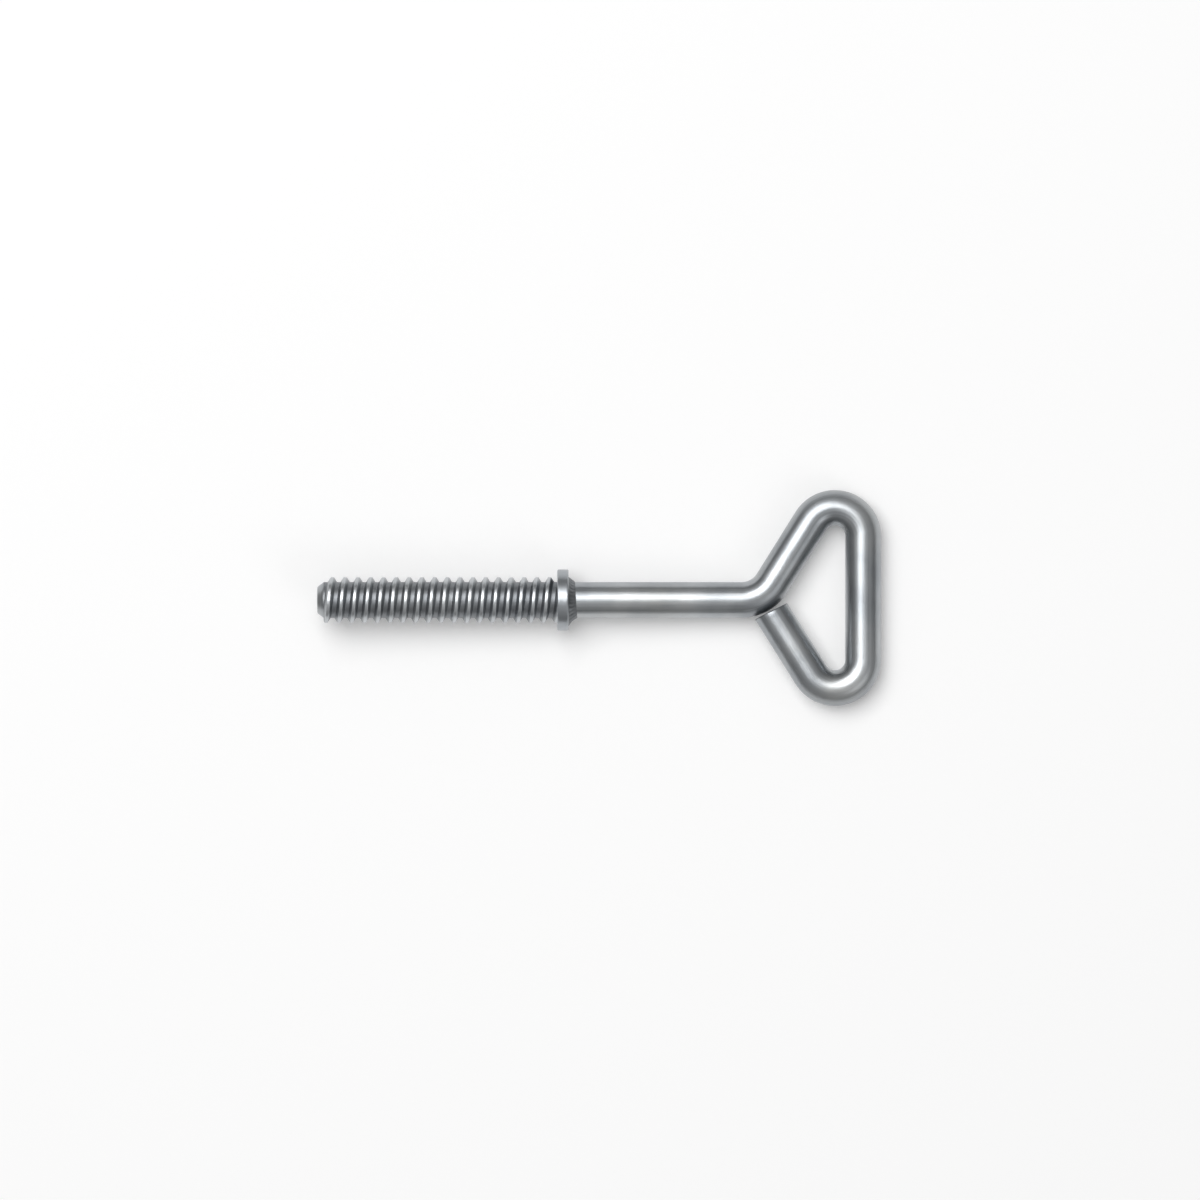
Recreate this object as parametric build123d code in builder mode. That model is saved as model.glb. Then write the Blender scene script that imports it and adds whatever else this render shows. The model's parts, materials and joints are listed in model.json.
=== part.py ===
from build123d import *
from math import acos, atan2, ceil, cos, degrees, hypot, radians, sin, tan
import os

# A wing screw bent from one length of round steel rod: a coarse left-hand thread is rolled on one
# end, a flat collar is slipped on against the thread and welded, and the other end is bent round
# into a three-cornered grip whose free end comes back against the shank's bend.
#
# The screw's own axis is X, with its origin in the middle of the collar's seat, the thread towards
# -X, the grip towards +X and the grip's plane on XY. It is then leaned about Y as it lies.

# Driving dimensions, in millimetres and degrees
rod_diameter = 8.0

thread_length = 51.9  # from where the ridge starts to the collar's seat
thread_pitch = 2.84
thread_height = 1.1  # of the ridge above the rod
crest_land = 0.65  # flat along the top of the ridge
root_land = 0.92  # bare rod between two turns
first_crest = 1.22  # from the ridge's start to its first crest, on the upper side
facets_per_turn = 24  # flat ones, laid along the helix

point_length = 1.4  # plain bevelled point ahead of the thread
point_bevel = 1.07  # taken off the rod's radius at the tip

collar_diameter = 13.6
collar_thickness = 2.5
collar_edge_bevel = 0.2
bore_clearance = 0.05  # round the rod
relief_clearance = 0.15  # round the thread's crest
relief_depth = 0.8

weld_length = 2.0  # leg along the shank
weld_height = 1.6  # leg up the collar
weld_hollow = 0.15  # of its face below a straight line

shank_length = 45.4  # from the collar's seat to the corner where the arm leans off
bend_radius = 8.0  # of the rod's centreline at that corner
arm_angle = 58.0  # both arms off the screw's axis
grip_depth = 22.6  # from that corner to the far side's centreline
lobe_radius = 6.3  # of the rod's centreline at the grip's two outer corners
end_gap = 0.3  # between the free end and the shank's bend
end_skew = 5.0  # the sheared end's lean off square

# Sizes that follow
rod_radius = rod_diameter / 2
crest_radius = rod_radius + thread_height
collar_radius = collar_diameter / 2
far_side = shank_length + grip_depth

# Corners of the rod's centreline, in the grip's plane. The arm that comes back aims at the middle
# of the shank's bend, so that its end sits square on the rod.
seat_middle = Vector(0, 0)
shank_corner = Vector(shank_length, 0)
upper_corner = Vector(far_side, grip_depth * tan(radians(arm_angle)))
far_middle = Vector(far_side, 0)
bend_centre = Vector(shank_length - bend_radius * tan(radians(arm_angle / 2)), bend_radius)
outward = Vector(cos(radians(arm_angle)), -sin(radians(arm_angle)))
lower_corner = bend_centre + outward * ((far_side - bend_centre.X) / outward.X)
uncut_end = bend_centre + outward * bend_radius

# The free end is sheared a little off square and lies just clear of the bend's outer side
shear_angle = radians(arm_angle + end_skew)
shear_normal = Vector(cos(shear_angle), -sin(shear_angle))
shear_plane = Plane(
    origin=bend_centre + shear_normal * (bend_radius + rod_radius + end_gap),
    z_dir=shear_normal,
)

# The thread is a trapezoid ridge wound left-handed round the rod. Its skin is laid in flat facets
# that stay within 0.05 mm of the true helix, from well before the thread's start to well past the
# collar's seat, then closed at both ends and trimmed square.
ridge_foot = (thread_pitch - root_land) / 2
ridge_outline = [  # radius, and place along the axis, on to the foot of the next turn
    (rod_radius, -ridge_foot),
    (crest_radius, -crest_land / 2),
    (crest_radius, crest_land / 2),
    (rod_radius, ridge_foot),
    (rod_radius, thread_pitch - ridge_foot),
]
skin_start = first_crest - thread_length - 2 * thread_pitch
facets = facets_per_turn * ceil(thread_length / thread_pitch + 3)


def on_helix(edge, facet):
    """The place that an edge of the ridge has reached after so many facets."""
    radius, along = edge
    turns = facet / facets_per_turn
    turned = radians(360 * turns)
    return Vector(skin_start + along + thread_pitch * turns, radius * sin(turned), radius * cos(turned))


def flat_face(*corners):
    return Face(Wire.make_polygon(corners))


def end_faces(facet):
    """The faces that close the skin's end down to the rod's axis."""
    foot = ridge_outline[0]
    middle = Vector(on_helix(foot, facet).X, 0, 0)
    faces = [flat_face(middle, *[on_helix(edge, facet) for edge in ridge_outline])]
    for around in range(facet, facet + facets_per_turn):
        faces.append(flat_face(middle, on_helix(foot, around), on_helix(foot, around + 1)))
    return faces


skin = end_faces(0) + end_faces(facets)
for facet in range(facets):
    for edge, next_edge in zip(ridge_outline, ridge_outline[1:]):
        near, far = on_helix(edge, facet), on_helix(next_edge, facet + 1)
        skin.append(flat_face(near, far, on_helix(edge, facet + 1)))
        skin.append(flat_face(near, far, on_helix(next_edge, facet)))

with BuildPart() as thread:
    add(Solid(Shell(skin)))
    with Locations((-thread_length / 2, 0, 0)):
        Box(thread_length, 3 * crest_radius, 3 * crest_radius, mode=Mode.INTERSECT)

with BuildPart() as threaded_rod:
    # Lower half of the grip, from the middle of its far side round to the sheared free end
    with BuildLine() as lower_path:
        FilletPolyline(far_middle, lower_corner, uncut_end, radius=lobe_radius)
    with BuildSketch(Plane(origin=far_middle, z_dir=(0, -1, 0))):
        Circle(rod_radius)
    sweep(path=lower_path.line)
    split(bisect_by=shear_plane, keep=Keep.TOP)

    # Shank and upper half of the grip, from the collar's seat to the middle of the far side
    with BuildLine() as upper_path:
        FilletPolyline(
            seat_middle,
            shank_corner,
            upper_corner,
            far_middle,
            radius=[bend_radius, lobe_radius],
        )
    with BuildSketch(Plane.YZ):
        Circle(rod_radius)
    sweep(path=upper_path.line)

    # Bevelled point
    with BuildSketch(Plane.XY):
        with BuildLine():
            Polyline(
                (-thread_length, 0),
                (-thread_length, rod_radius),
                (-thread_length - point_length, rod_radius - point_bevel),
                (-thread_length - point_length, 0),
                close=True,
            )
        make_face()
    revolve(axis=Axis.X)

    add(thread.part)

# Collar: a flat ring, relieved on the seat side where the thread runs out against it
relief_radius = crest_radius + relief_clearance
bore_radius = rod_radius + bore_clearance

with BuildPart() as collar:
    with BuildSketch(Plane.XY) as collar_section:
        with BuildLine():
            Polyline(
                (0, relief_radius),
                (0, collar_radius),
                (collar_thickness, collar_radius),
                (collar_thickness, bore_radius),
                (relief_depth, bore_radius),
                close=True,
            )
        make_face()
        chamfer(collar_section.vertices().group_by(Axis.Y)[-1], length=collar_edge_bevel)
    revolve(axis=Axis.X)

# Weld: a bead with a slightly hollow face in the corner behind the collar
weld_toe = Vector(collar_thickness + weld_length, rod_radius)
weld_crown = Vector(collar_thickness, rod_radius + weld_height)

with BuildPart() as collar_weld:
    with BuildSketch(Plane.XY):
        with BuildLine():
            Polyline(weld_crown, (collar_thickness, rod_radius), weld_toe)
            SagittaArc(weld_toe, weld_crown, weld_hollow)
        make_face()
    revolve(axis=Axis.X)

# The screw lies on the rim of its collar and the far side of its grip, so its axis leans by the
# angle that brings both to the same height
rim_to_far_side = far_side - (collar_thickness - collar_edge_bevel)
lean = degrees(
    acos(rod_radius / hypot(collar_radius, rim_to_far_side)) - atan2(rim_to_far_side, collar_radius)
)
as_it_lies = Location((0, 0, 0), (0, lean, 0))

os.makedirs("parts", exist_ok=True)

threaded_rod.part.locate(as_it_lies)
threaded_rod.part.label = "threaded_rod"
export_step(threaded_rod.part, "parts/threaded_rod.step")

collar.part.locate(as_it_lies)
collar.part.label = "collar"
export_step(collar.part, "parts/collar.step")

collar_weld.part.locate(as_it_lies)
collar_weld.part.label = "collar_weld"
export_step(collar_weld.part, "parts/collar_weld.step")
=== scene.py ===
import json
from math import atan2, ceil, copysign, cos, exp, pi, radians, sin, tan

import bmesh
import bpy
from mathutils import Matrix, Vector, noise


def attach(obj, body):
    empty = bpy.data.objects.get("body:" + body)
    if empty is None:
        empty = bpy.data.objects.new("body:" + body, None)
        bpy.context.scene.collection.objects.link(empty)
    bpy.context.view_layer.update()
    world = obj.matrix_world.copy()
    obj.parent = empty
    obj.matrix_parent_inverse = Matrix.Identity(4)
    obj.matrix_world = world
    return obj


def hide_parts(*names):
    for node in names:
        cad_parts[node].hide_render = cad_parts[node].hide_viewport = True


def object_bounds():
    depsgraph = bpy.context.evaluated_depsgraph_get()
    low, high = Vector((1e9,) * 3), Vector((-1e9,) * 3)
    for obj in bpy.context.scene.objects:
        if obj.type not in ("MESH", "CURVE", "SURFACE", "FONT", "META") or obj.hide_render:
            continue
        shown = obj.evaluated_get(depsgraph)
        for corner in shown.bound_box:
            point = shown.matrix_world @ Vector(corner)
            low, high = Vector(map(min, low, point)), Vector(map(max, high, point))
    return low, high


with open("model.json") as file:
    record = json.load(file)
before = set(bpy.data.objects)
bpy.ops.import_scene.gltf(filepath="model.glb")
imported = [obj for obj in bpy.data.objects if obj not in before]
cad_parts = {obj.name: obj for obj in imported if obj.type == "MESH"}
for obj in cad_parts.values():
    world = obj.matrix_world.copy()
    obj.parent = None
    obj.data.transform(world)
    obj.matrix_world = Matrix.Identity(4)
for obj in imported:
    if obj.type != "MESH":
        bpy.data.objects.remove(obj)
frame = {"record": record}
cad_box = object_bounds()

# ---- Threaded rod ------------------------------------------------------------------------------
# The screw itself is one length of 8 mm mild steel rod, cold drawn to size. One end is turned to a
# bevelled point and rolled with a coarse left-hand thread. The other is bent cold round pins into a
# three-cornered grip and sheared off by the shank. Then the whole screw is zinc plated.

mm = 0.001

rod_radius = 4.0 * mm
thread_length = 51.9 * mm
thread_pitch = 2.84 * mm
thread_height = 1.1 * mm
crest_land = 0.65 * mm
root_land = 0.92 * mm
first_crest = 1.22 * mm  # from the ridge's start, on the upper side
crest_rounding = 0.14 * mm
root_rounding = 0.2 * mm
crest_shortfall = 0.04 * mm  # where rolling left the crest less than full
shortfall_spacing = 2.5 * mm
ridge_rises_from = -0.3 * mm  # of the crest from the thread's start, where the ridge has no height
ridge_rises_to = 0.4 * mm  # and where it is full
point_length = 1.4 * mm
point_bevel = 1.07 * mm
point_rounding = 0.2 * mm

shank_length = 45.4 * mm
bend_radius = 8.0 * mm
arm_angle = radians(58.0)
grip_depth = 22.6 * mm
lobe_radius = 6.3 * mm
outside_drawn_in = 0.06 * mm  # a cold bend pulls the rod's outer side in a little
end_gap = 0.3 * mm
end_skew = radians(5.0)
edge_rolled_over = 0.25 * mm  # by the shear's blade
fracture_depth = 0.07 * mm
fracture_grain = 0.7 * mm

columns = 96  # round the rod
angles = [2 * pi * column / columns for column in range(columns + 1)]
outline_step = 0.5 * mm  # along an outline's straight stretches
outline_turn = radians(15)  # and round its corners


def rounded_line(corners, radii, straight_step, arc_step):
    """A line through these corners, each rounded to its radius, as (place, heading, bend) steps.

    The bend runs from 0 at an arc's ends to 1 in its middle, and is negative for a turn to the right.
    """
    line = []
    here = corners[0]

    def go_straight(end):
        steps = ceil((end - here).length / straight_step)
        heading = (end - here).normalized()
        line.extend((here.lerp(end, step / steps), heading, 0.0) for step in range(steps + 1))

    for corner, after, radius in zip(corners[1:], corners[2:], radii):
        heading = (corner - here).normalized()
        leaving = (after - corner).normalized()
        turn = atan2(heading.cross(leaving), heading.dot(leaving))
        reach = radius * tan(abs(turn) / 2)
        arc_start = corner - heading * reach
        go_straight(arc_start)
        centre = arc_start + Vector((-heading.y, heading.x)) * copysign(radius, turn)
        steps = ceil(abs(turn) / arc_step)
        for step in range(1, steps):
            turned = Matrix.Rotation(turn * step / steps, 2)
            bend = copysign(sin(pi * step / steps) ** 0.5, turn)
            line.append((centre + turned @ (arc_start - centre), turned @ heading, bend))
        here = corner + leaving * reach
    go_straight(corners[-1])
    return line


def ring(x, radius):
    """Points in a ring round the screw's axis."""
    return [Vector((x, radius * sin(angle), radius * cos(angle))) for angle in angles]


def straight_row(points):
    """A row where the rod is straight, so that each point is its own place on the unbent rod."""
    return [(point, point, 0.0) for point in points]


# The bevelled point, from the middle of its face out to the rod's full radius
thread_start = -thread_length
point_face = thread_start - point_length
point_corners = [
    Vector((point_face, 0.0)),
    Vector((point_face, rod_radius - point_bevel)),
    Vector((thread_start, rod_radius)),
]
point_line = rounded_line(point_corners, [point_rounding], outline_step, outline_turn)
point_rows = [straight_row(ring(place.x, place.y)) for place, heading, bend in point_line]

# One turn of the thread's outline, from the middle of one root to the middle of the next
ridge_foot = (thread_pitch - root_land) / 2
ridge_corners = [
    Vector((-thread_pitch / 2, rod_radius)),
    Vector((-ridge_foot, rod_radius)),
    Vector((-crest_land / 2, rod_radius + thread_height)),
    Vector((crest_land / 2, rod_radius + thread_height)),
    Vector((ridge_foot, rod_radius)),
    Vector((thread_pitch / 2, rod_radius)),
]
ridge_rounding = [root_rounding, crest_rounding, crest_rounding, root_rounding]
ridge_steps = rounded_line(ridge_corners, ridge_rounding, outline_step, outline_turn)
ridge_line = [place for place, heading, bend in ridge_steps]
turns_before = 2  # the outline's first turns, which are cut away at the thread's square start
outline_start = thread_start + first_crest - turns_before * thread_pitch


def ridge_height(from_crest):
    """The ridge's height over the rod at a place along its outline."""
    for near, far in zip(ridge_line, ridge_line[1:]):
        if from_crest <= far.x:
            return near.y + (far.y - near.y) * (from_crest - near.x) / (far.x - near.x) - rod_radius
    return 0.0


def thread_point(x, angle):
    """A point of the thread's surface, held between the thread's two square ends."""
    x = min(max(x, thread_start), 0.0)
    half_turn = thread_pitch / 2
    from_outline_start = x - outline_start - thread_pitch * angle / (2 * pi)
    from_crest = (from_outline_start + half_turn) % thread_pitch - half_turn
    crest_in = x - from_crest - thread_start
    risen = (crest_in - ridge_rises_from) / (ridge_rises_to - ridge_rises_from)
    height = ridge_height(from_crest) * min(1.0, max(0.0, risen))
    root_point = Vector((x, sin(angle) * rod_radius, cos(angle) * rod_radius))
    shortfall = crest_shortfall * (0.5 + 0.5 * noise.noise(root_point / shortfall_spacing))
    radius = rod_radius + height * (1 - shortfall / thread_height)
    return Vector((x, radius * sin(angle), radius * cos(angle)))


def thread_end(x):
    """The two rows between which the thread's ridge ends square."""
    return [
        straight_row(ring(x, rod_radius)),
        straight_row([thread_point(x, angle) for angle in angles]),
    ]


thread_rows = []
for turn in range(turns_before + ceil(thread_length / thread_pitch) + 1):
    for place in ridge_line[:-1]:
        row_start = outline_start + place.x + thread_pitch * turn
        points = [thread_point(row_start + thread_pitch * angle / (2 * pi), angle) for angle in angles]
        thread_rows.append(straight_row(points))

# The shank and grip, in the grip's plane, from the collar's seat to the sheared end
far_side = shank_length + grip_depth
bend_centre = Vector((shank_length - bend_radius * tan(arm_angle / 2), bend_radius))
outward = Vector((cos(arm_angle), -sin(arm_angle)))
shear_normal = Vector((cos(arm_angle + end_skew), -sin(arm_angle + end_skew)))
end_middle = bend_centre + outward * ((bend_radius + rod_radius + end_gap) / cos(end_skew))
last_ring_back = 1.0 * mm  # of the last ring that is square to the rod
grip_corners = [
    Vector((0.0, 0.0)),
    Vector((shank_length, 0.0)),
    Vector((far_side, grip_depth * tan(arm_angle))),
    bend_centre + outward * ((far_side - bend_centre.x) / outward.x),
    end_middle + outward * last_ring_back,
]
ring_spacing = 1.5 * mm
ring_turn = radians(3)
grip_rounding = [bend_radius, lobe_radius, lobe_radius]
grip_line = rounded_line(grip_corners, grip_rounding, ring_spacing, ring_turn)


def rod_point(place, heading, run, radius, angle):
    """A point round the rod at a place on its run, with its place on the unbent rod."""
    sideways, upward = radius * sin(angle), radius * cos(angle)
    point = Vector((place.x - heading.y * sideways, place.y + heading.x * sideways, upward))
    return point, Vector((run, sideways, upward))


grip_rows = []
run = 0.0
before = grip_line[0][0]
for place, heading, bend in grip_line:
    run += (place - before).length
    before = place
    row = []
    for angle in angles:
        drawn_in = outside_drawn_in * max(0.0, -bend * sin(angle))
        row.append((*rod_point(place, heading, run, rod_radius - drawn_in, angle), bend))
    grip_rows.append(row)

# The sheared end: its edge rolled over by the blade, its face torn and a little hollow
end_face_radius = rod_radius - edge_rolled_over
end_face_rings = 12
edge_turns = [radians(angle) for angle in (0, 20, 40, 60, 90)]
end_steps = []
for turn in edge_turns:
    end_steps.append((end_face_radius + edge_rolled_over * cos(turn), edge_rolled_over * (1 - sin(turn))))
for step in range(1, end_face_rings + 1):
    end_steps.append((end_face_radius * (1 - step / end_face_rings), 0.0))

end_run = run + last_ring_back
heading = -outward
for radius, back in end_steps:
    row = []
    for angle in angles:
        point, unbent = rod_point(end_middle, heading, end_run, radius, angle)
        slide = -(point.xy - end_middle).dot(shear_normal) / heading.dot(shear_normal)
        inside = min(1.0, max(0.0, (end_face_radius - radius) / fracture_grain))
        torn = fracture_depth * inside * (0.5 + 0.5 * noise.noise(point / fracture_grain))
        shift = heading * (slide - back - torn)
        row.append((point + Vector((shift.x, shift.y, 0.0)), unbent, 0.0))
    grip_rows.append(row)


def lay_rows(mesh, rows, layers):
    """Faces between each row and the next, of points that carry a value for each layer."""
    laid = []
    for row in rows:
        laid.append([])
        for point, *values in row:
            vertex = mesh.verts.new(point)
            for layer, value in zip(layers, values):
                vertex[layer] = value
            laid[-1].append(vertex)
    for near, far in zip(laid, laid[1:]):
        for a, b, c, d in zip(near, near[1:], far[1:], far):
            mesh.faces.new((a, b, c, d))


# The screw's own axis, its grip's crosswise line and its grip's normal, as the screw lies
seat = next(mount for mount in frame["record"]["mounts"] if mount["name"] == "collar_seat")
own_x = -Vector(seat["axis"])
own_y = Vector((0.0, 1.0, 0.0))
own_z = own_x.cross(own_y)
as_it_lies = Matrix((own_x, own_y, own_z)).transposed().to_4x4()


seam_gap = 0.001 * mm  # rows that are nearer than this are one
sharpest_smooth = radians(40)


def finish_piece(name, mesh, material):
    """Closes the seams of a piece's rows, shades it, lays it down and gives it its material."""
    bmesh.ops.remove_doubles(mesh, verts=mesh.verts, dist=seam_gap)
    bmesh.ops.dissolve_degenerate(mesh, edges=mesh.edges, dist=seam_gap / 2)
    bmesh.ops.recalc_face_normals(mesh, faces=mesh.faces)
    for face in mesh.faces:
        face.smooth = True
    for edge in mesh.edges:
        edge.smooth = edge.calc_face_angle(0.0) < sharpest_smooth
    mesh.transform(as_it_lies)
    data = bpy.data.meshes.new(name)
    mesh.to_mesh(data)
    mesh.free()
    data.materials.append(material)
    piece = bpy.data.objects.new(name, data)
    bpy.context.scene.collection.objects.link(piece)
    return piece


def linear(hex_colour):
    """An sRGB hex colour as linear red, green, blue and alpha."""
    channels = [int(hex_colour[place : place + 2], 16) / 255 for place in (1, 3, 5)]
    return (*[c / 12.92 if c <= 0.04045 else ((c + 0.055) / 1.055) ** 2.4 for c in channels], 1.0)


def add(tree, kind, inputs, **settings):
    """Adds a node with its settings, and its inputs as values or as links from other sockets."""
    node = tree.nodes.new(kind)
    for setting, value in settings.items():
        setattr(node, setting, value)
    for socket, value in inputs.items():
        if isinstance(value, bpy.types.NodeSocket):
            tree.links.new(value, node.inputs[socket])
        else:
            node.inputs[socket].default_value = value
    return node


# Bright zinc plating over drawn steel: a cool light grey metal, with the drawing die's fine lines
# along the rod, a faint clouding from the bath and duller bends. The thread roots get painted shade
# and its crests a painted highlight.
drawn_zinc = bpy.data.materials.new("zinc_plated_drawn_steel")
drawn_zinc.use_nodes = True
tree = drawn_zinc.node_tree
shader = tree.nodes["Principled BSDF"]
shader.inputs["Metallic"].default_value = 1.0
unbent = add(tree, "ShaderNodeAttribute", {}, attribute_name="unbent").outputs["Vector"]
parts_of_place = add(tree, "ShaderNodeSeparateXYZ", {"Vector": unbent})

# Where the thread and the point are, and how far down into the thread a place lies
# the depth in the thread below which the roots get painted shade and duller gloss
dark_below = 0.8  # of the thread's height
thread_overlap = 0.01 * mm  # so that the thread's square ends count as thread
in_thread = add(
    tree,
    "ShaderNodeMath",
    {0: parts_of_place.outputs["X"], 1: -thread_length / 2, 2: thread_length / 2 + thread_overlap},
    operation="COMPARE",
)
on_point = add(
    tree,
    "ShaderNodeMath",
    {0: parts_of_place.outputs["X"], 1: -thread_length - thread_overlap},
    operation="LESS_THAN",
)
across = add(tree, "ShaderNodeVectorMath", {0: unbent, 1: (0.0, 1.0, 1.0)}, operation="MULTIPLY")
off_axis = add(tree, "ShaderNodeVectorMath", {0: across.outputs[0]}, operation="LENGTH")
depth = add(
    tree,
    "ShaderNodeMapRange",
    {
        "Value": off_axis.outputs["Value"],
        "From Min": rod_radius + dark_below * thread_height,
        "From Max": rod_radius,
    },
)
rooted = add(tree, "ShaderNodeMath", {0: depth.outputs[0], 1: in_thread.outputs[0]}, operation="MULTIPLY")

# The die leaves long lines. The thread's dies press them flat and leave a fine even grain, and the
# point is turned.
die_line_length = 45 * mm
die_line_width = 0.5 * mm  # some 0.05 mm on a real rod, drawn coarser so that it shows
rolled_grain_size = 0.3 * mm
point_ring_width = 0.3 * mm  # some 0.1 mm on a real point, drawn coarser so that it shows
line_scale = (1 / die_line_length, 1 / die_line_width, 1 / die_line_width)
line_places = add(tree, "ShaderNodeMapping", {"Vector": unbent, "Scale": line_scale})
die_lines = add(tree, "ShaderNodeTexNoise", {"Vector": line_places.outputs[0], "Scale": 1.0, "Detail": 3.0})
rolled_grain = add(
    tree, "ShaderNodeTexNoise", {"Vector": unbent, "Scale": 1 / rolled_grain_size, "Detail": 3.0}
)
point_rings = add(
    tree,
    "ShaderNodeTexNoise",
    {"W": off_axis.outputs["Value"], "Scale": 1 / point_ring_width, "Detail": 1.0},
    noise_dimensions="1D",
)
formed = add(
    tree, "ShaderNodeMix", {0: in_thread.outputs[0], 2: die_lines.outputs[0], 3: rolled_grain.outputs[0]}
)
surface = add(
    tree, "ShaderNodeMix", {0: on_point.outputs[0], 2: formed.outputs[0], 3: point_rings.outputs[0]}
)

# Scuffs from the bin are short and thin, and lie a little off the length of the plain rod
scuff_length = 5 * mm
scuff_width = 0.3 * mm
scuff_lie = (0.4, 0.5, 0.6)
scuff_scale = (1 / scuff_length, 1 / scuff_width, 1 / scuff_width)
scuff_places = add(
    tree, "ShaderNodeMapping", {"Vector": unbent, "Rotation": scuff_lie, "Scale": scuff_scale}
)
scuffs = add(tree, "ShaderNodeTexNoise", {"Vector": scuff_places.outputs[0], "Scale": 1.0, "Detail": 2.0})
scuffed = add(
    tree,
    "ShaderNodeMapRange",
    {"Value": scuffs.outputs[0], "From Min": 0.64, "From Max": 0.78, "To Max": 0.6},
)
on_shank = add(
    tree,
    "ShaderNodeMath",
    {0: parts_of_place.outputs["X"], 1: thread_overlap},
    operation="GREATER_THAN",
)
scuff = add(
    tree, "ShaderNodeMath", {0: scuffed.outputs[0], 1: on_shank.outputs[0]}, operation="MULTIPLY"
)

# On a bend the outer side is stretched and turns dull and grainy, and the inner side is pressed
# bright against the pin
bend_grain_size = 0.6 * mm
bend_here = add(tree, "ShaderNodeAttribute", {}, attribute_name="bend")
inward = add(
    tree,
    "ShaderNodeMath",
    {0: bend_here.outputs["Fac"], 1: parts_of_place.outputs["Y"]},
    operation="MULTIPLY",
)
stretched = add(
    tree, "ShaderNodeMapRange", {"Value": inward.outputs[0], "From Min": 0.0, "From Max": -rod_radius}
)
pressed = add(
    tree, "ShaderNodeMapRange", {"Value": inward.outputs[0], "From Min": 0.0, "From Max": rod_radius}
)
bend_grain = add(
    tree, "ShaderNodeTexNoise", {"Vector": unbent, "Scale": 1 / bend_grain_size, "Detail": 2.0}
)
peel = add(
    tree, "ShaderNodeMath", {0: bend_grain.outputs[0], 1: stretched.outputs[0]}, operation="MULTIPLY"
)

# The bath leaves faint clouds, streaked along the die lines, and the clear passivation a hint of
# blue and straw in them
blue_zinc = linear("#B4BAC0")
straw_zinc = linear("#BBBBB8")
clouded_zinc = linear("#999DA1")
scuffed_zinc = linear("#CBCDD0")
# painted shade: the colour the thread roots are darkened towards
painted_shade_zinc = linear("#75787C")
# painted highlight: the colour the thread crests are lightened towards
crest_highlight_zinc = linear("#CFD2D5")
cloud_size = 9 * mm
streaks_in_clouds = 0.4
tint_size = 14 * mm
clouding = add(tree, "ShaderNodeTexNoise", {"Vector": unbent, "Scale": 1 / cloud_size, "Detail": 4.0})
tint = add(tree, "ShaderNodeTexNoise", {"Vector": unbent, "Scale": 1 / tint_size, "Detail": 2.0})
light_zinc = add(
    tree, "ShaderNodeMix", {0: tint.outputs[0], 6: blue_zinc, 7: straw_zinc}, data_type="RGBA"
)
streaked = add(
    tree, "ShaderNodeMix", {0: streaks_in_clouds, 2: clouding.outputs[0], 3: surface.outputs[0]}
)
cloudy = add(
    tree, "ShaderNodeMapRange", {"Value": streaked.outputs[0], "From Min": 0.38, "From Max": 0.62}
)
plating = add(
    tree,
    "ShaderNodeMix",
    {0: cloudy.outputs[0], 6: clouded_zinc, 7: light_zinc.outputs[2]},
    data_type="RGBA",
)
worked = add(
    tree,
    "ShaderNodeMix",
    {0: scuff.outputs[0], 6: plating.outputs[2], 7: scuffed_zinc},
    data_type="RGBA",
)

# The thread's roots are darkened as painted shade, and its crests, which alone stand far off the axis, are
# lightened as a painted highlight
painted_root_shade = 0.7
highlight_above = 0.85  # of the thread's height
crest_highlight = 0.7
# Painted shade, deepest at the thread roots
shade = add(tree, "ShaderNodeMath", {0: rooted.outputs[0], 1: painted_root_shade}, operation="MULTIPLY")
shaded = add(
    tree,
    "ShaderNodeMix",
    {0: shade.outputs[0], 6: worked.outputs[2], 7: painted_shade_zinc},
    data_type="RGBA",
)
# Painted highlight on the thread crests, strongest at their tops
painted_crest_highlight = add(
    tree,
    "ShaderNodeMapRange",
    {
        "Value": off_axis.outputs["Value"],
        "From Min": rod_radius + highlight_above * thread_height,
        "From Max": rod_radius + thread_height,
        "To Max": crest_highlight,
    },
)
coloured = add(
    tree,
    "ShaderNodeMix",
    {0: painted_crest_highlight.outputs[0], 6: shaded.outputs[2], 7: crest_highlight_zinc},
    data_type="RGBA",
)
tree.links.new(coloured.outputs[2], shader.inputs["Base Color"])

# Satin all over, duller in the roots and on the stretched sides, and brighter on the pressed ones
roughness = add(tree, "ShaderNodeMapRange", {"Value": surface.outputs[0], "To Min": 0.24, "To Max": 0.46})
for where, dulling in [(rooted, 0.12), (stretched, 0.12), (pressed, -0.06)]:
    roughness = add(
        tree,
        "ShaderNodeMath",
        {0: where.outputs[0], 1: dulling, 2: roughness.outputs[0]},
        operation="MULTIPLY_ADD",
    )
tree.links.new(roughness.outputs[0], shader.inputs["Roughness"])

# Drawing leaves the rod very slightly wavy, under its lines, its bends' grain and its scuffs
wave_size = 5 * mm
waves = add(tree, "ShaderNodeTexNoise", {"Vector": unbent, "Scale": 1 / wave_size, "Detail": 1.0})
relief = add(tree, "ShaderNodeBump", {"Height": waves.outputs[0], "Strength": 1.0, "Distance": 0.05 * mm})
for pattern, strength, height, is_dent in [
    (surface, 0.5, 0.018 * mm, False),
    (peel, 0.5, 0.04 * mm, False),
    (scuff, 0.4, 0.01 * mm, True),
]:
    inputs = {"Height": pattern.outputs[0], "Strength": strength, "Distance": height}
    relief = add(tree, "ShaderNodeBump", {**inputs, "Normal": relief.outputs[0]}, invert=is_dent)
tree.links.new(relief.outputs[0], shader.inputs["Normal"])

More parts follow.
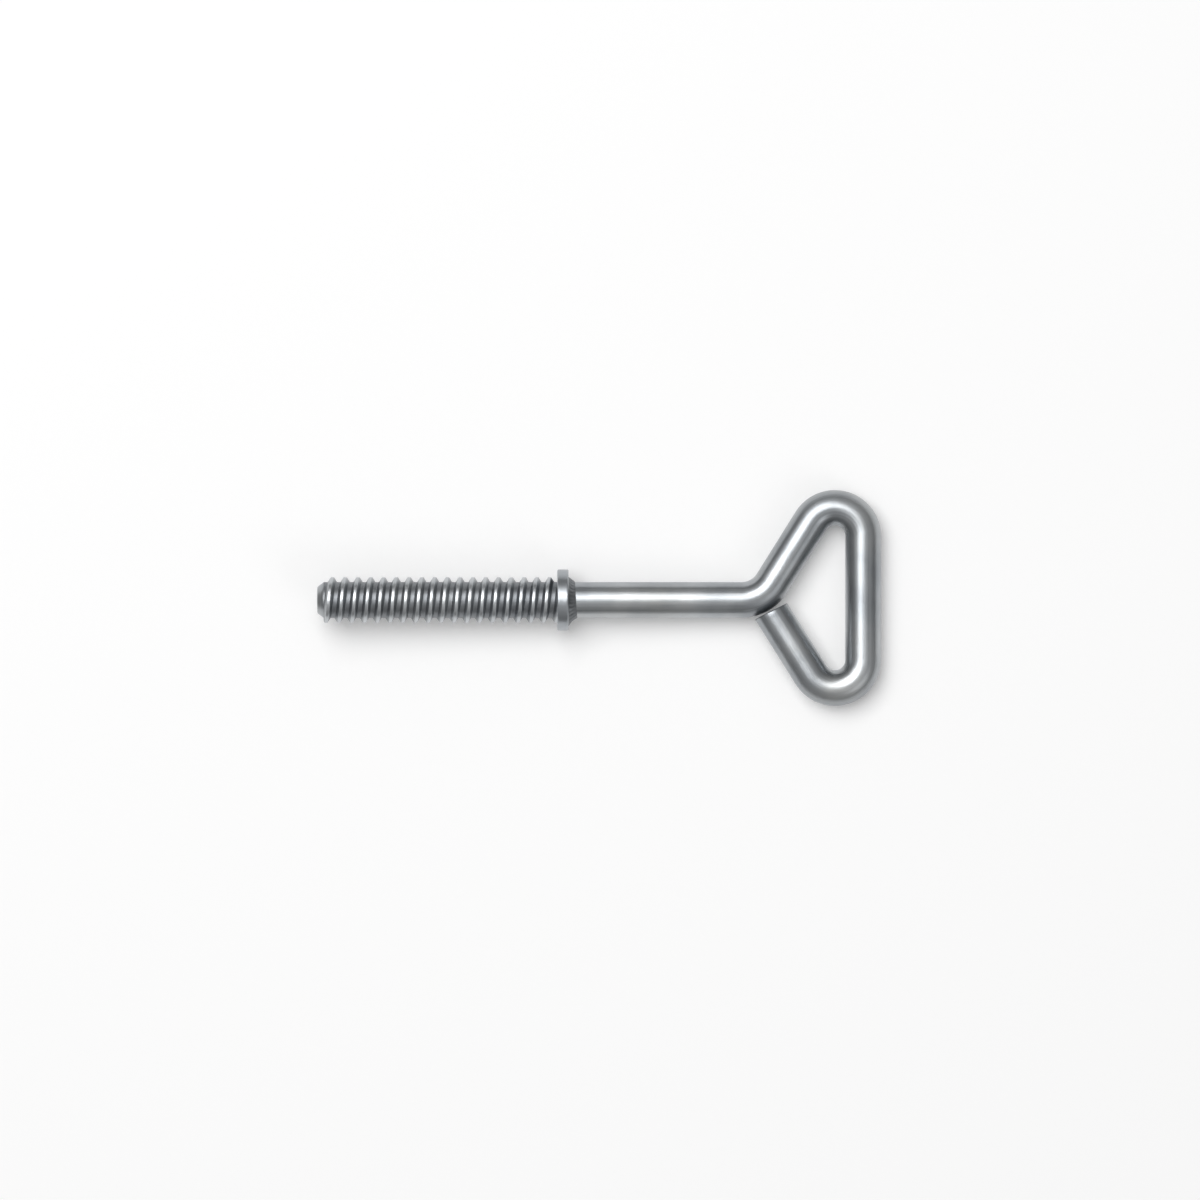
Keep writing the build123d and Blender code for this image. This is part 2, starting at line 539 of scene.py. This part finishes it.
rod_mesh = bmesh.new()
rod_layers = [rod_mesh.verts.layers.float_vector.new("unbent"), rod_mesh.verts.layers.float.new("bend")]
for rows in (point_rows, thread_end(thread_start), thread_rows, thread_end(0.0), grip_rows):
    lay_rows(rod_mesh, rows, rod_layers)
rod = finish_piece("wing_screw_rod", rod_mesh, drawn_zinc)
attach(rod, "root")
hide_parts("threaded_rod")

# ---- Collar ------------------------------------------------------------------------------------
# A flat ring turned from steel bar, slipped over the grip's end of the rod before bending and
# pushed up against the thread. Its edges are broken at 45 degrees, and its seat is relieved round
# the bore where the thread runs out. It is plated with the rod.

collar_radius = 6.8 * mm
collar_thickness = 2.5 * mm
collar_edge_bevel = 0.2 * mm
collar_edge_rounding = 0.12 * mm
bore_radius = rod_radius + 0.05 * mm
relief_radius = rod_radius + thread_height + 0.15 * mm
relief_depth = 0.8 * mm
bore_edge_rounding = 0.03 * mm
collar_step = 0.35 * mm

rim_start = collar_edge_bevel
rim_end = collar_thickness - collar_edge_bevel
collar_corners = [
    Vector((collar_thickness / 2, collar_radius)),
    Vector((rim_end, collar_radius)),
    Vector((collar_thickness, collar_radius - collar_edge_bevel)),
    Vector((collar_thickness, bore_radius)),
    Vector((relief_depth, bore_radius)),
    Vector((0.0, relief_radius)),
    Vector((0.0, collar_radius - collar_edge_bevel)),
    Vector((rim_start, collar_radius)),
    Vector((collar_thickness / 2, collar_radius)),
]
collar_rounding = [collar_edge_rounding] * 2 + [bore_edge_rounding] * 3 + [collar_edge_rounding] * 2
collar_line = rounded_line(collar_corners, collar_rounding, collar_step, outline_turn)

collar_rows = []
for place, heading, bend in collar_line:
    lathe_place = Vector((place.x, place.y, 0.0))
    collar_rows.append([(point, lathe_place) for point in ring(place.x, place.y)])

# Zinc plating over turned steel: the same cool grey as the rod, with the lathe tool's rings on its
# faces and rim, and a few dull bruises from handling.
turned_zinc = bpy.data.materials.new("zinc_plated_turned_steel")
turned_zinc.use_nodes = True
tree = turned_zinc.node_tree
shader = tree.nodes["Principled BSDF"]
shader.inputs["Metallic"].default_value = 1.0
lathe = add(tree, "ShaderNodeAttribute", {}, attribute_name="lathe").outputs["Vector"]
own_place = add(tree, "ShaderNodeTexCoord", {}).outputs["Object"]
dull_zinc = linear("#969A9E")
bright_zinc = linear("#B6BABE")
tool_ring_width = 0.25 * mm  # some 0.1 mm on a real collar, drawn coarser so that it shows
bruise_size = 3 * mm
tool_rings = add(tree, "ShaderNodeTexNoise", {"Vector": lathe, "Scale": 1 / tool_ring_width, "Detail": 2.0})
bruising = add(tree, "ShaderNodeTexNoise", {"Vector": own_place, "Scale": 1 / bruise_size, "Detail": 4.0})
plating = add(
    tree, "ShaderNodeMix", {0: bruising.outputs[0], 6: dull_zinc, 7: bright_zinc}, data_type="RGBA"
)
tree.links.new(plating.outputs[2], shader.inputs["Base Color"])
ring_gloss = add(
    tree, "ShaderNodeMapRange", {"Value": tool_rings.outputs[0], "To Min": 0.22, "To Max": 0.46}
)
tree.links.new(ring_gloss.outputs[0], shader.inputs["Roughness"])
relief = add(
    tree, "ShaderNodeBump", {"Height": tool_rings.outputs[0], "Strength": 0.5, "Distance": 0.02 * mm}
)

# A few small nicks from knocks against other screws
nick_length = 2 * mm
nick_width = 0.3 * mm
nick_lie = (0.6, 0.3, 0.8)
nick_scale = (1 / nick_length, 1 / nick_width, 1 / nick_width)
knock_places = add(
    tree, "ShaderNodeMapping", {"Vector": own_place, "Rotation": nick_lie, "Scale": nick_scale}
)
knocks = add(tree, "ShaderNodeTexNoise", {"Vector": knock_places.outputs[0], "Scale": 1.0, "Detail": 3.0})
nicks = add(tree, "ShaderNodeMapRange", {"Value": knocks.outputs[0], "From Min": 0.66, "From Max": 0.8})
nicked = add(
    tree,
    "ShaderNodeBump",
    {"Height": nicks.outputs[0], "Strength": 0.5, "Distance": 0.02 * mm, "Normal": relief.outputs[0]},
    invert=True,
)
tree.links.new(nicked.outputs[0], shader.inputs["Normal"])

collar_mesh = bmesh.new()
lay_rows(collar_mesh, collar_rows, [collar_mesh.verts.layers.float_vector.new("lathe")])
collar = finish_piece("wing_screw_collar", collar_mesh, turned_zinc)
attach(collar, "root")
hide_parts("collar")

# ---- Weld --------------------------------------------------------------------------------------
# One arc-welded fillet run round the rod behind the collar, which holds the collar on. It sagged
# while it was molten, so one side is fuller and hollow and the other lean and flat, and its face is
# scalloped where each step of the arc froze over the last. Plated over, it stays dark and dull.

lean_length = 1.5 * mm
lean_height = 1.2 * mm
full_length = 2.0 * mm
full_height = 1.98 * mm
full_hollow = 0.3 * mm
weld_sunk = 0.04 * mm  # into the rod and the collar
ripple_spacing = 1.1 * mm
ripple_height = 0.12 * mm
ripple_bow = 0.45  # how far a ripple's middle leads its ends, in ripples
ripple_middle = 0.6  # of a ripple's height, which lies level with the face
unevenness = 0.12 * mm  # of the bead's two toes
unevenness_waves = 4
other_toe = Vector((7.0, 0.0, 0.0))  # elsewhere in the noise, so that the toes differ
overlap_height = 0.16 * mm  # where the run ends on its own start
overlap_angle = radians(300)
overlap_spread = radians(14)
crater_depth = 0.8  # of the hollow past the overlap, in overlap heights
crater_lag = 1.6 * overlap_spread

weld_columns = 288
weld_steps = 14
ripples = round(2 * pi * (rod_radius + lean_height) / ripple_spacing)
weld_rows = [[] for step in range(weld_steps + 1)]
closing_row = []
for column in range(weld_columns + 1):
    angle = 2 * pi * column / weld_columns
    spin = Vector((cos(angle), sin(angle), 0.0))
    fullness = 0.5 - 0.5 * sin(angle)  # from 0 on one side to 1 on the grip's free end's side
    toe_back = unevenness * (0.5 + 0.5 * noise.noise(spin * unevenness_waves))
    toe_out = lean_length + (full_length - lean_length) * fullness - toe_back
    toe = Vector((collar_thickness + toe_out, rod_radius))
    crown_drop = unevenness * (0.5 + 0.5 * noise.noise(spin * unevenness_waves + other_toe))
    crown_up = lean_height + (full_height - lean_height) * fullness - crown_drop
    crown = Vector((collar_thickness, rod_radius + crown_up))
    face = (crown - toe).normalized()
    face_out = Vector((face.y, -face.x))
    past_overlap = (angle - overlap_angle + pi) % (2 * pi) - pi
    past_crater = past_overlap - crater_lag
    lump = exp(-((past_overlap / overlap_spread) ** 2))
    crater = crater_depth * exp(-((past_crater / overlap_spread) ** 2))
    for step in range(weld_steps + 1):
        up_face = step / weld_steps
        belly = 4 * up_face * (1 - up_face)  # 0 at the toes and 1 half way up
        ripple = abs(sin(pi * (ripples * column / weld_columns + ripple_bow * belly)))
        raised = ripple_height * (ripple - ripple_middle) + overlap_height * (lump - crater)
        out = belly * (raised - full_hollow * fullness)
        place = toe.lerp(crown, up_face) + face_out * out
        weld_rows[step].append((place, angle))
    closing_row.append((Vector((collar_thickness - weld_sunk, rod_radius - weld_sunk)), angle))

foot_row = [(Vector((place.x, rod_radius - weld_sunk)), angle) for place, angle in weld_rows[0]]
back_row = [(Vector((collar_thickness - weld_sunk, place.y)), angle) for place, angle in weld_rows[-1]]
weld_points = []
for row in [closing_row, foot_row, *weld_rows, back_row, closing_row]:
    points = [Vector((place.x, place.y * sin(angle), place.y * cos(angle))) for place, angle in row]
    weld_points.append([(point, point) for point in points])

# Zinc plating over weld metal: a darker, duller grey, grainy with fine scale under the plating
plated_weld = bpy.data.materials.new("zinc_plated_weld_metal")
plated_weld.use_nodes = True
tree = plated_weld.node_tree
shader = tree.nodes["Principled BSDF"]
shader.inputs["Metallic"].default_value = 1.0
bead_place = add(tree, "ShaderNodeAttribute", {}, attribute_name="bead").outputs["Vector"]
scaled_weld = linear("#646769")
clean_weld = linear("#94979A")
weld_grain_size = 0.4 * mm
scale_patch_size = 1.6 * mm
grain = add(tree, "ShaderNodeTexNoise", {"Vector": bead_place, "Scale": 1 / weld_grain_size, "Detail": 5.0})
scale_patches = add(
    tree, "ShaderNodeTexNoise", {"Vector": bead_place, "Scale": 1 / scale_patch_size, "Detail": 3.0}
)
weld_colour = add(
    tree, "ShaderNodeMix", {0: scale_patches.outputs[0], 6: scaled_weld, 7: clean_weld}, data_type="RGBA"
)
tree.links.new(weld_colour.outputs[2], shader.inputs["Base Color"])
weld_gloss = add(tree, "ShaderNodeMapRange", {"Value": grain.outputs[0], "To Min": 0.38, "To Max": 0.62})
tree.links.new(weld_gloss.outputs[0], shader.inputs["Roughness"])
relief = add(tree, "ShaderNodeBump", {"Height": grain.outputs[0], "Strength": 0.6, "Distance": 0.05 * mm})
tree.links.new(relief.outputs[0], shader.inputs["Normal"])

weld_mesh = bmesh.new()
lay_rows(weld_mesh, weld_points, [weld_mesh.verts.layers.float_vector.new("bead")])
weld = finish_piece("wing_screw_weld", weld_mesh, plated_weld)
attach(weld, "root")
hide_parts("collar_weld")

# ---- Floor, light and camera -------------------------------------------------------------------
# The screw lies on a plain white sheet under soft studio light, and the camera looks straight down
# on the grip's plane through a long lens.

floor_reach = 8.0  # to each side of the screw
floor_mesh = bmesh.new()
bmesh.ops.create_grid(floor_mesh, x_segments=1, y_segments=1, size=floor_reach)
floor_data = bpy.data.meshes.new("floor")
floor_mesh.to_mesh(floor_data)
floor_mesh.free()
floor = bpy.data.objects.new("floor", floor_data)
floor.location.z = cad_box[0][2]
bpy.context.scene.collection.objects.link(floor)

# Matt white card. A small glow adds what it lacks of white, to the camera and in the metal alike,
# and leaves the shadow.
card_glow = 0.137
card = bpy.data.materials.new("matt_white_card")
card.use_nodes = True
tree = card.node_tree
shader = tree.nodes["Principled BSDF"]
shader.inputs["Base Color"].default_value = linear("#EFEFEF")
shader.inputs["Roughness"].default_value = 0.9
shader.inputs["Emission Color"].default_value = (1.0, 1.0, 1.0, 1.0)
paths = add(tree, "ShaderNodeLightPath", {})
seen = add(
    tree,
    "ShaderNodeMath",
    {0: paths.outputs["Is Camera Ray"], 1: paths.outputs["Is Glossy Ray"]},
    operation="ADD",
)
seen_at_all = add(
    tree,
    "ShaderNodeMath",
    {0: seen.outputs[0], 1: paths.outputs["Is Transmission Ray"]},
    operation="ADD",
)
lift = add(tree, "ShaderNodeMath", {0: seen_at_all.outputs[0], 1: card_glow}, operation="MULTIPLY")
tree.links.new(lift.outputs[0], shader.inputs["Emission Strength"])
floor_data.materials.append(card)

# Soft light from all round, dim at the floor's height and brighter overhead
world = bpy.data.worlds.new("studio")
bpy.context.scene.world = world
world.use_nodes = True
tree = world.node_tree
sky_place = add(tree, "ShaderNodeTexCoord", {}).outputs["Generated"]
sky_height = add(tree, "ShaderNodeSeparateXYZ", {"Vector": sky_place})
sky_level = add(
    tree,
    "ShaderNodeMapRange",
    {"Value": sky_height.outputs["Z"], "From Min": 0.0, "From Max": 0.9, "To Min": 0.1, "To Max": 0.45},
)
tree.links.new(sky_level.outputs[0], tree.nodes["Background"].inputs["Color"])


def soft_lamp(name, place, size, watts):
    """A square area lamp that faces the screw."""
    lamp = bpy.data.lights.new(name, "AREA")
    lamp.size = size
    lamp.energy = watts
    holder = bpy.data.objects.new(name, lamp)
    holder.location = place
    holder.rotation_euler = (-Vector(place)).to_track_quat("-Z", "Y").to_euler()
    bpy.context.scene.collection.objects.link(holder)


soft_lamp("overhead_lamp", (-0.35, 0.5, 1.5), 1.2, 19.0)
soft_lamp("fill_lamp", (0.9, -0.8, 1.0), 0.7, 1.8)

lens = 300.0
sensor = 36.0
frame_width = 266.7 * mm
frame_middle = 9.49 * mm  # along the screw's axis from the collar's seat
camera_data = bpy.data.cameras.new("camera")
camera_data.lens = lens
camera_data.sensor_width = sensor
camera_data.clip_end = 100.0
camera = bpy.data.objects.new("camera", camera_data)
distance = frame_width * lens / sensor
camera.matrix_world = Matrix.Translation(own_x * frame_middle + own_z * distance) @ as_it_lies
bpy.context.scene.collection.objects.link(camera)
bpy.context.scene.camera = camera
bpy.context.scene.view_settings.view_transform = "Standard"
